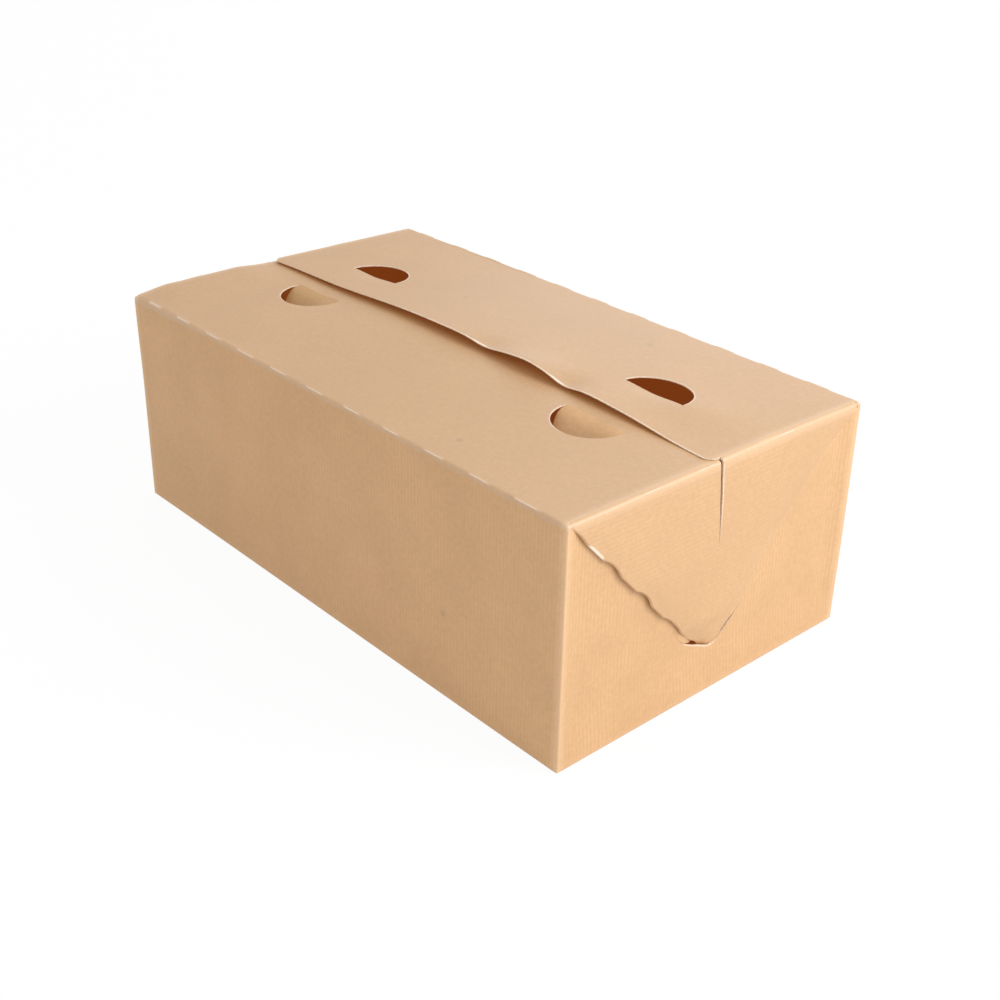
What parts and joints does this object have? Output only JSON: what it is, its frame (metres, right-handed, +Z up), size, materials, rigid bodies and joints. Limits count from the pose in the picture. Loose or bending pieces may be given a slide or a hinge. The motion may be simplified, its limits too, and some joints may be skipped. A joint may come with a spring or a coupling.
{
  "type": "takeaway food box",
  "caption": "Closed kraft take-away food box folded from micro-flute board, with overlapping vented lid flaps and triangular end ears that tuck into slots.",
  "frame": {"origin": "middle of the base, on the surface that the box stands on", "axes": "+X along the long side, +Y to the back, +Z up"},
  "size_m": [0.282, 0.158, 0.1069],
  "materials": {
    "kraft_board": "matt, uncoated kraft liner with fine flute lines"
  },
  "bodies": {
    "box": {"carton": "kraft_board"},
    "right_ear": {"right_tuck_ear": "kraft_board"},
    "left_ear": {"left_tuck_ear": "kraft_board"}
  },
  "joints": [
    {"name": "right_ear_fold", "type": "hinge", "parent": "box", "child": "right_ear", "pos_m": [0.14, 0, 0.1], "axis": [0, -1, 0], "range_deg": [0, 90]},
    {"name": "left_ear_fold", "type": "hinge", "parent": "box", "child": "left_ear", "pos_m": [-0.14, 0, 0.1], "axis": [0, 1, 0], "range_deg": [0, 90]}
  ]
}
